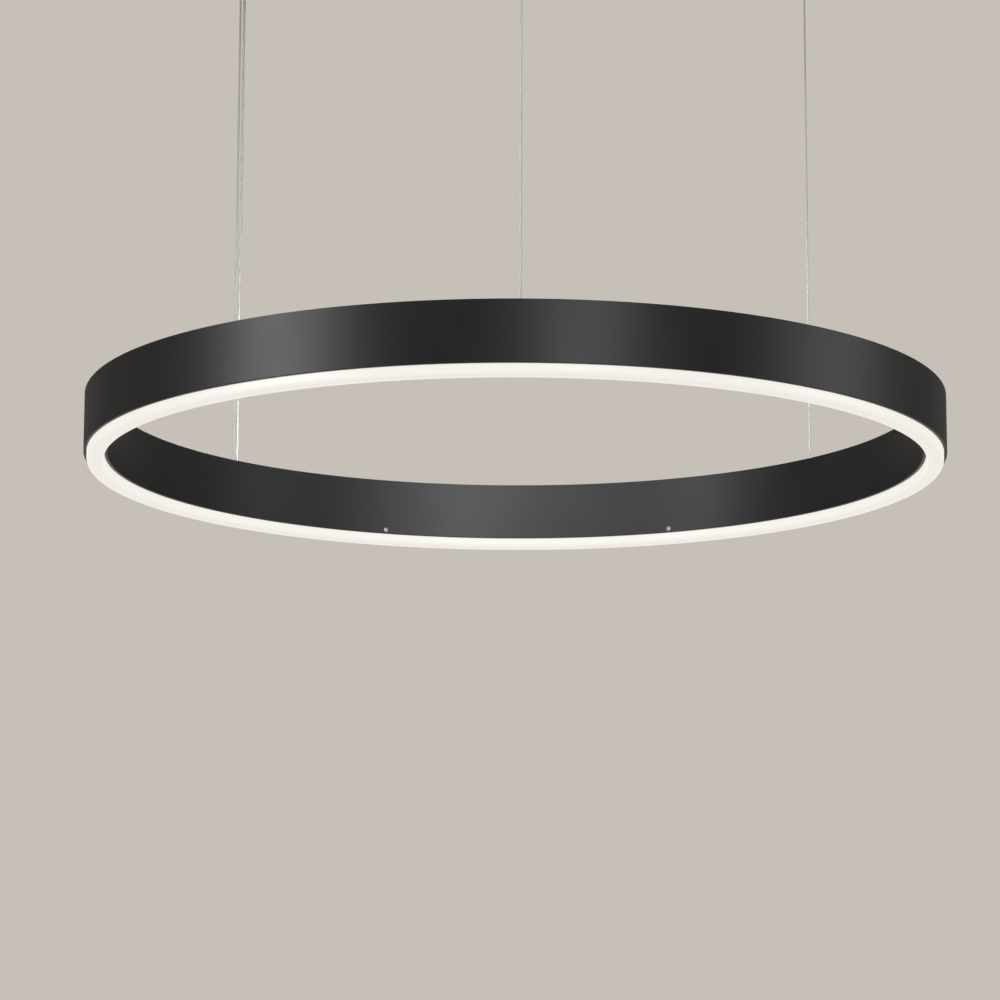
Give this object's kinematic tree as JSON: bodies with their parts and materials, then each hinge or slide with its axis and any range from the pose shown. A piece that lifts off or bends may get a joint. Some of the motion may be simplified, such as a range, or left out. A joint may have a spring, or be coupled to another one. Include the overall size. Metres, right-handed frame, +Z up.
{
  "type": "led ring pendant light",
  "caption": "Slim black ring pendant with an opal light band below, hung level from three thin steel cables with self-locking ceiling grippers and a driver canopy.",
  "frame": {"origin": "on the ceiling plane, on the ring's vertical axis", "axes": "+Z up; +Y from the front hanging point towards the two behind; +X to the right as seen from the front"},
  "size_m": [0.7999, 0.814, 0.6345],
  "materials": {
    "black_aluminium": "satin black anodised",
    "black_steel": "satin black powder coat",
    "opal": "opal diffusing acrylic, lit",
    "stainless": "stranded stainless cable",
    "nickel": "bright nickel plate on brass",
    "zinc_steel": "zinc plated",
    "raw_aluminium": "mill finish",
    "circuit_white": "white solder mask",
    "phosphor": "LED phosphor",
    "clear_cord": "clear PVC over two tinned cores",
    "black_rubber": "moulded",
    "white_plastic": "moulded"
  },
  "bodies": {
    "ceiling": {"canopy_base": "zinc_steel", "canopy_standoff": "nickel", "driver": "white_plastic", "driver_screws": "zinc_steel", "driver_leads": "black_rubber", "canopy_terminal": "white_plastic", "ceiling_puck_front": "raw_aluminium", "ceiling_puck_right": "raw_aluminium", "gripper_stud_front": "nickel", "gripper_stud_right": "nickel", "gripper_stud_left": "nickel", "gripper_barrel_front": "nickel", "gripper_barrel_right": "nickel", "gripper_barrel_left": "nickel", "gripper_spring_front": "stainless", "gripper_spring_right": "stainless", "gripper_spring_left": "stainless", "suspension_cable_front": "stainless", "suspension_cable_right": "stainless", "suspension_cable_left": "stainless", "feed_cord": "clear_cord"},
    "ring": {"ring_housing": "black_aluminium", "top_cover": "black_aluminium", "diffuser": "opal", "diffuser_screws": "zinc_steel", "led_tape": "circuit_white", "led_chips": "phosphor", "anchor_block_front": "zinc_steel", "anchor_block_right": "zinc_steel", "anchor_block_left": "zinc_steel", "anchor_screws": "zinc_steel", "cable_nipple_front": "nickel", "cable_nipple_right": "nickel", "cable_nipple_left": "nickel", "cable_end_front": "stainless", "cable_end_right": "stainless", "cable_end_left": "stainless", "feed_grommet": "black_rubber", "feed_tail": "clear_cord", "ring_terminal": "white_plastic"},
    "release_front": {"gripper_nozzle_front": "nickel", "gripper_balls_front": "stainless"},
    "release_right": {"gripper_nozzle_right": "nickel", "gripper_balls_right": "stainless"},
    "release_left": {"gripper_nozzle_left": "nickel", "gripper_balls_left": "stainless"},
    "canopy_shell": {"canopy_cover": "black_steel", "canopy_screws": "zinc_steel", "canopy_grommet": "black_rubber"},
    "cup_front": {"cup_cover_front": "black_steel", "cup_grub_front": "zinc_steel"},
    "cup_right": {"cup_cover_right": "black_steel", "cup_grub_right": "zinc_steel"}
  },
  "joints": [
    {"name": "ring_height", "type": "slide", "parent": "ceiling", "child": "ring", "axis": [0, 0, 1], "range_m": [0, 0.3], "deforming": ["suspension_cable_front", "suspension_cable_right", "suspension_cable_left", "feed_cord"]},
    {"name": "gripper_release_front", "type": "slide", "parent": "ceiling", "child": "release_front", "axis": [0, 0, 1], "range_m": [0, 0.002], "stiffness_N_per_m": 2500, "deforming": ["gripper_spring_front"]},
    {"name": "gripper_release_right", "type": "slide", "parent": "ceiling", "child": "release_right", "axis": [0, 0, 1], "range_m": [0, 0.002], "stiffness_N_per_m": 2500, "deforming": ["gripper_spring_right"]},
    {"name": "gripper_release_left", "type": "slide", "parent": "ceiling", "child": "release_left", "axis": [0, 0, 1], "range_m": [0, 0.002], "stiffness_N_per_m": 2500, "deforming": ["gripper_spring_left"]},
    {"name": "canopy_lower", "type": "slide", "parent": "ceiling", "child": "canopy_shell", "axis": [0, 0, -1], "range_m": [0, 0.12]},
    {"name": "cup_lower_front", "type": "slide", "parent": "ceiling", "child": "cup_front", "axis": [0, 0, -1], "range_m": [0, 0.1]},
    {"name": "cup_lower_right", "type": "slide", "parent": "ceiling", "child": "cup_right", "axis": [0, 0, -1], "range_m": [0, 0.1]}
  ]
}
